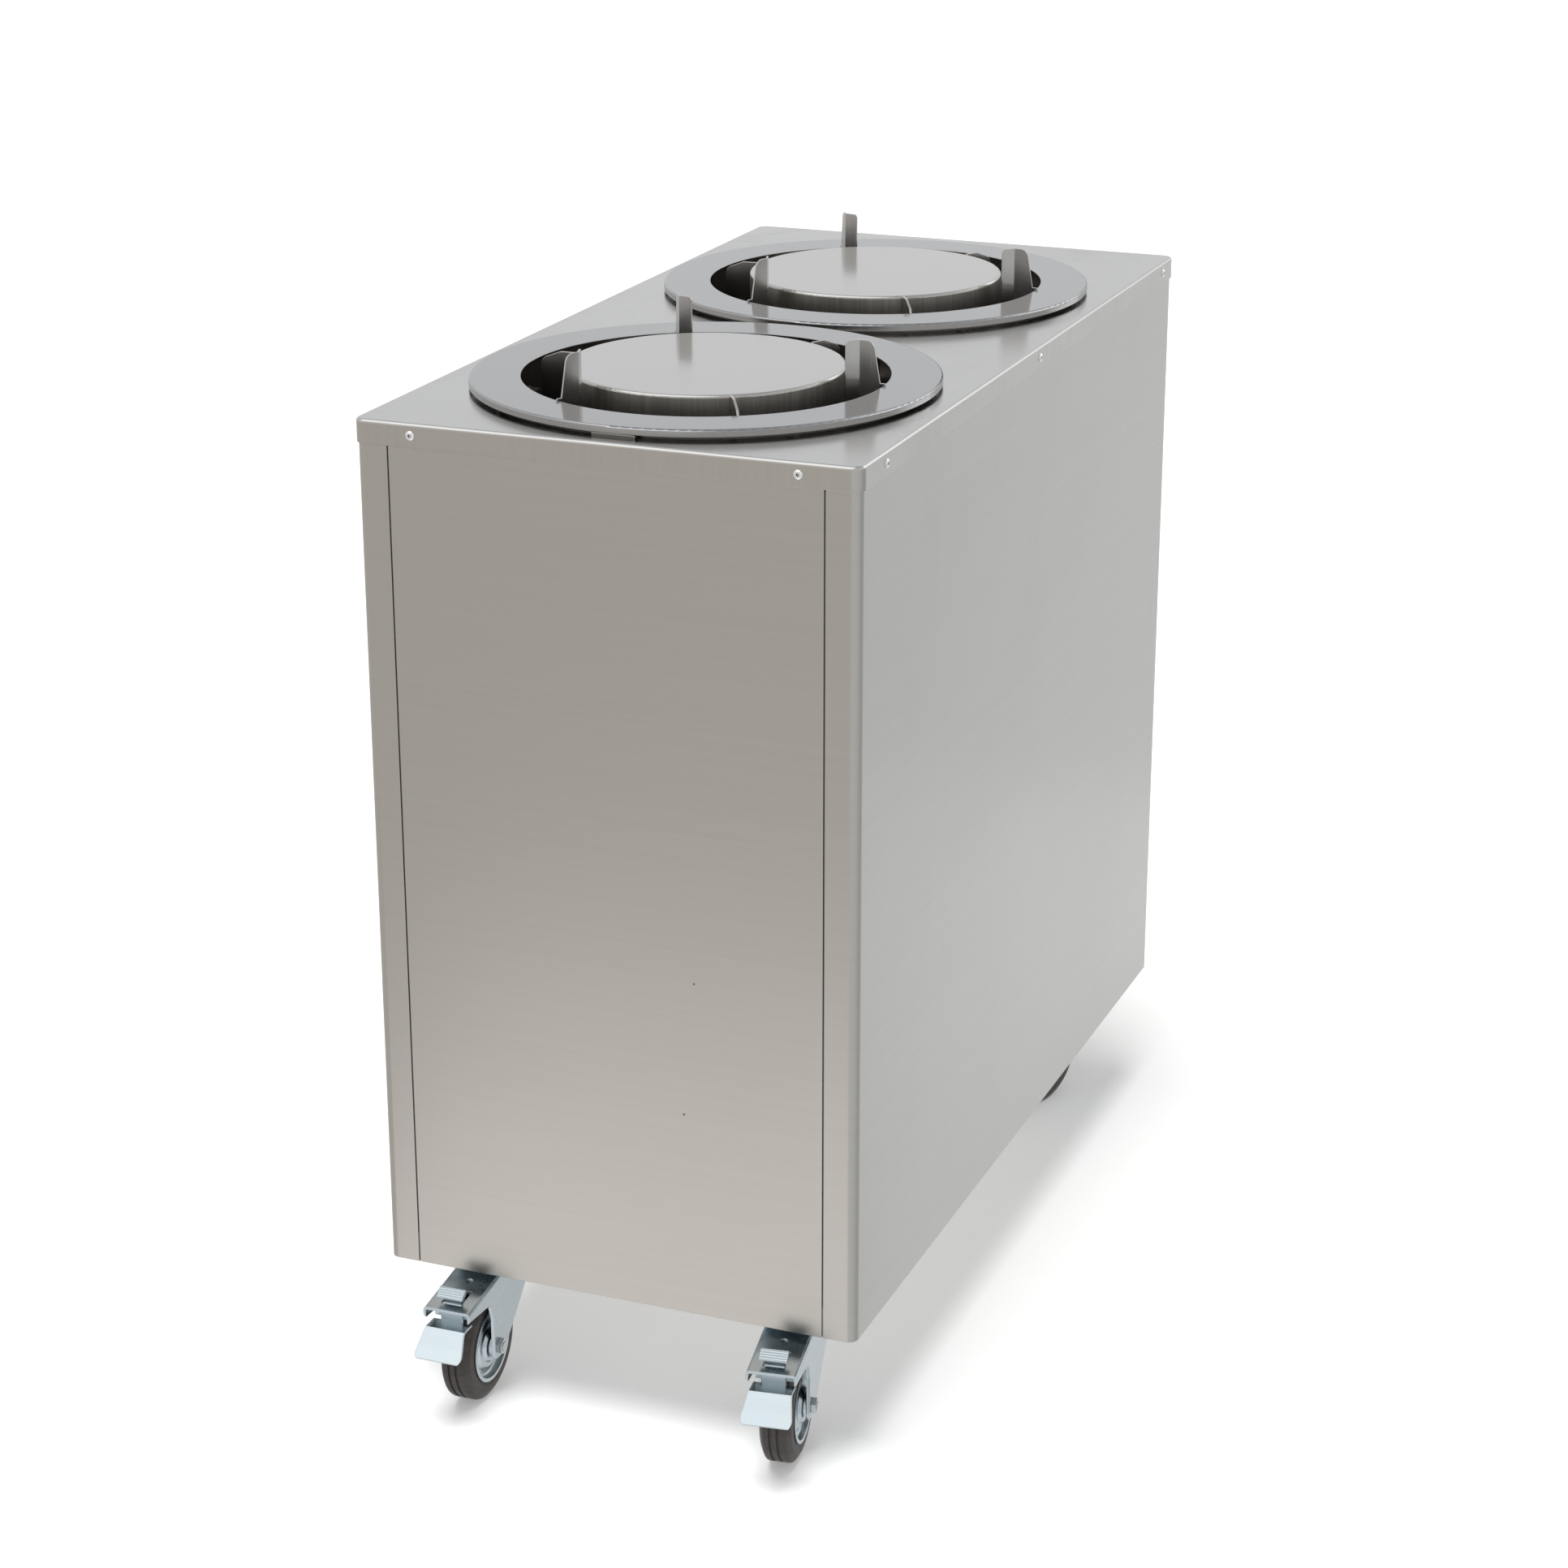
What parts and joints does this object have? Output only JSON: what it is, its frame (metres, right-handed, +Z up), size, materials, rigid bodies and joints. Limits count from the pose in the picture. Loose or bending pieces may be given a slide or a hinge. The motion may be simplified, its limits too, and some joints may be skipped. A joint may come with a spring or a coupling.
{
  "type": "plate warmer cabinet",
  "caption": "Floor-standing heated plate dispenser: stainless cabinet on swivel castors, with sprung round platforms, guide plates and collars in its top.",
  "frame": {"origin": "on the floor, under the middle of the overall box at rest", "axes": "+X to the right seen from the front end, +Y from the front end to the control end, +Z up"},
  "size_m": [0.4356, 0.9556, 0.9185],
  "materials": {
    "cabinet_sheet": "brushed satin",
    "cap_sheet": "brushed satin",
    "collar_steel": "fine brushed",
    "dish_steel": "fine brushed",
    "inner_steel": "mill finish",
    "guide_steel": "fine brushed",
    "spring_steel": "drawn wire",
    "zinc_steel": "bright zinc plated",
    "fastener_steel": "zinc plated",
    "rivet_aluminium": "bright",
    "heater_sheath": "oxidised sheath",
    "tyre_rubber": "matte",
    "black_plastic": "satin moulded",
    "rocker_plastic": "gloss",
    "grey_plastic": "moulded",
    "lead_insulation": "silicone insulation"
  },
  "bodies": {
    "cabinet": {"top_panel": "cap_sheet", "left_side_panel": "cabinet_sheet", "right_side_panel": "cabinet_sheet", "front_end_panel": "cabinet_sheet", "rear_end_panel": "cabinet_sheet", "corner_posts": "inner_steel", "base_pan": "inner_steel", "caster_channels": "inner_steel", "caster_bolts": "fastener_steel", "caster_plates": "zinc_steel", "cap_rivets": "rivet_aluminium", "collar_supports": "inner_steel", "spring_hangers": "inner_steel", "control_plate": "cabinet_sheet", "control_screws": "fastener_steel", "thermostats": "black_plastic", "switch_housings": "black_plastic", "cable_gland": "black_plastic", "terminal_block": "grey_plastic", "wiring_leads": "lead_insulation", "front_well_tube": "inner_steel", "front_well_base": "inner_steel", "front_heating_element": "heater_sheath", "front_collar_ring": "collar_steel", "front_guide_plates": "guide_steel", "front_lift_springs": "spring_steel", "rear_well_tube": "inner_steel", "rear_well_base": "inner_steel", "rear_heating_element": "heater_sheath", "rear_collar_ring": "collar_steel", "rear_guide_plates": "guide_steel", "rear_lift_springs": "spring_steel"},
    "front_platform": {"front_platform_dish": "dish_steel", "front_platform_frame": "guide_steel"},
    "rear_platform": {"rear_platform_dish": "dish_steel", "rear_platform_frame": "guide_steel"},
    "front_left_caster_swivel": {"front_left_caster_fork": "zinc_steel", "front_left_caster_axle": "fastener_steel"},
    "front_left_caster_wheel": {"front_left_caster_rim": "zinc_steel", "front_left_caster_tyre": "tyre_rubber"},
    "front_left_pedal": {"front_left_brake_pedal": "zinc_steel"},
    "front_left_release": {"front_left_brake_release": "zinc_steel"},
    "front_right_caster_swivel": {"front_right_caster_fork": "zinc_steel", "front_right_caster_axle": "fastener_steel"},
    "front_right_caster_wheel": {"front_right_caster_rim": "zinc_steel", "front_right_caster_tyre": "tyre_rubber"},
    "front_right_pedal": {"front_right_brake_pedal": "zinc_steel"},
    "front_right_release": {"front_right_brake_release": "zinc_steel"},
    "rear_left_caster_swivel": {"rear_left_caster_fork": "zinc_steel", "rear_left_caster_axle": "fastener_steel"},
    "rear_left_caster_wheel": {"rear_left_caster_rim": "zinc_steel", "rear_left_caster_tyre": "tyre_rubber"},
    "rear_right_caster_swivel": {"rear_right_caster_fork": "zinc_steel", "rear_right_caster_axle": "fastener_steel"},
    "rear_right_caster_wheel": {"rear_right_caster_rim": "zinc_steel", "rear_right_caster_tyre": "tyre_rubber"},
    "front_knob": {"front_thermostat_knob": "black_plastic"},
    "front_rocker": {"front_switch_rocker": "rocker_plastic"},
    "rear_knob": {"rear_thermostat_knob": "black_plastic"},
    "rear_rocker": {"rear_switch_rocker": "rocker_plastic"}
  },
  "joints": [
    {"name": "front_platform_lift", "type": "slide", "parent": "cabinet", "child": "front_platform", "axis": [0, 0, 1], "range_m": [-0.487, 0], "stiffness_N_per_m": 750, "springref_m": 0.05, "deforming": ["front_lift_springs"]},
    {"name": "rear_platform_lift", "type": "slide", "parent": "cabinet", "child": "rear_platform", "axis": [0, 0, 1], "range_m": [-0.487, 0], "stiffness_N_per_m": 750, "springref_m": 0.05, "deforming": ["rear_lift_springs"]},
    {"name": "front_left_caster_swivel", "type": "hinge", "parent": "cabinet", "child": "front_left_caster_swivel", "pos_m": [-0.1425, -0.3568, 0.1205], "axis": [0, 0, 1], "continuous": true},
    {"name": "front_left_wheel_spin", "type": "hinge", "parent": "front_left_caster_swivel", "child": "front_left_caster_wheel", "pos_m": [-0.14214, -0.3978, 0.05], "axis": [1, 0.0087, 0], "continuous": true},
    {"name": "front_left_brake_pedal", "type": "hinge", "parent": "front_left_caster_swivel", "child": "front_left_pedal", "pos_m": [-0.14191, -0.4248, 0.1006], "axis": [1, 0.0087, 0], "range_deg": [0, 12]},
    {"name": "front_left_brake_release", "type": "hinge", "parent": "front_left_caster_swivel", "child": "front_left_release", "pos_m": [-0.14191, -0.4248, 0.1006], "axis": [1, 0.0087, 0], "range_deg": [-6, 0]},
    {"name": "front_right_caster_swivel", "type": "hinge", "parent": "cabinet", "child": "front_right_caster_swivel", "pos_m": [0.1425, -0.3568, 0.1205], "axis": [0, 0, 1], "continuous": true},
    {"name": "front_right_wheel_spin", "type": "hinge", "parent": "front_right_caster_swivel", "child": "front_right_caster_wheel", "pos_m": [0.14821, -0.3974, 0.05], "axis": [0.9903, 0.1392, 0], "continuous": true},
    {"name": "front_right_brake_pedal", "type": "hinge", "parent": "front_right_caster_swivel", "child": "front_right_pedal", "pos_m": [0.15196, -0.42414, 0.1006], "axis": [0.9903, 0.1392, 0], "range_deg": [0, 12]},
    {"name": "front_right_brake_release", "type": "hinge", "parent": "front_right_caster_swivel", "child": "front_right_release", "pos_m": [0.15196, -0.42414, 0.1006], "axis": [0.9903, 0.1392, 0], "range_deg": [-6, 0]},
    {"name": "rear_left_caster_swivel", "type": "hinge", "parent": "cabinet", "child": "rear_left_caster_swivel", "pos_m": [-0.1425, 0.3972, 0.1205], "axis": [0, 0, 1], "continuous": true},
    {"name": "rear_left_wheel_spin", "type": "hinge", "parent": "rear_left_caster_swivel", "child": "rear_left_caster_wheel", "pos_m": [-0.15102, 0.3571, 0.05], "axis": [0.9781, -0.2079, 0], "continuous": true},
    {"name": "rear_right_caster_swivel", "type": "hinge", "parent": "cabinet", "child": "rear_right_caster_swivel", "pos_m": [0.1425, 0.3972, 0.1205], "axis": [0, 0, 1], "continuous": true},
    {"name": "rear_right_wheel_spin", "type": "hinge", "parent": "rear_right_caster_swivel", "child": "rear_right_caster_wheel", "pos_m": [0.12714, 0.35918, 0.05], "axis": [0.9272, -0.3746, 0], "continuous": true},
    {"name": "front_thermostat_turn", "type": "hinge", "parent": "cabinet", "child": "front_knob", "pos_m": [-0.095, 0.4567, 0.7805], "axis": [0, -1, 0], "range_deg": [0, 270]},
    {"name": "front_switch_rock", "type": "hinge", "parent": "cabinet", "child": "front_rocker", "pos_m": [-0.038, 0.4527, 0.7805], "axis": [-1, 0, 0], "range_deg": [0, 14]},
    {"name": "rear_thermostat_turn", "type": "hinge", "parent": "cabinet", "child": "rear_knob", "pos_m": [0.095, 0.4567, 0.7805], "axis": [0, -1, 0], "range_deg": [0, 270]},
    {"name": "rear_switch_rock", "type": "hinge", "parent": "cabinet", "child": "rear_rocker", "pos_m": [0.038, 0.4527, 0.7805], "axis": [-1, 0, 0], "range_deg": [0, 14]}
  ],
  "couplings": [
    {"joint": "front_left_brake_release", "follows": "front_left_brake_pedal", "ratio": -0.5},
    {"joint": "front_right_brake_release", "follows": "front_right_brake_pedal", "ratio": -0.5}
  ]
}
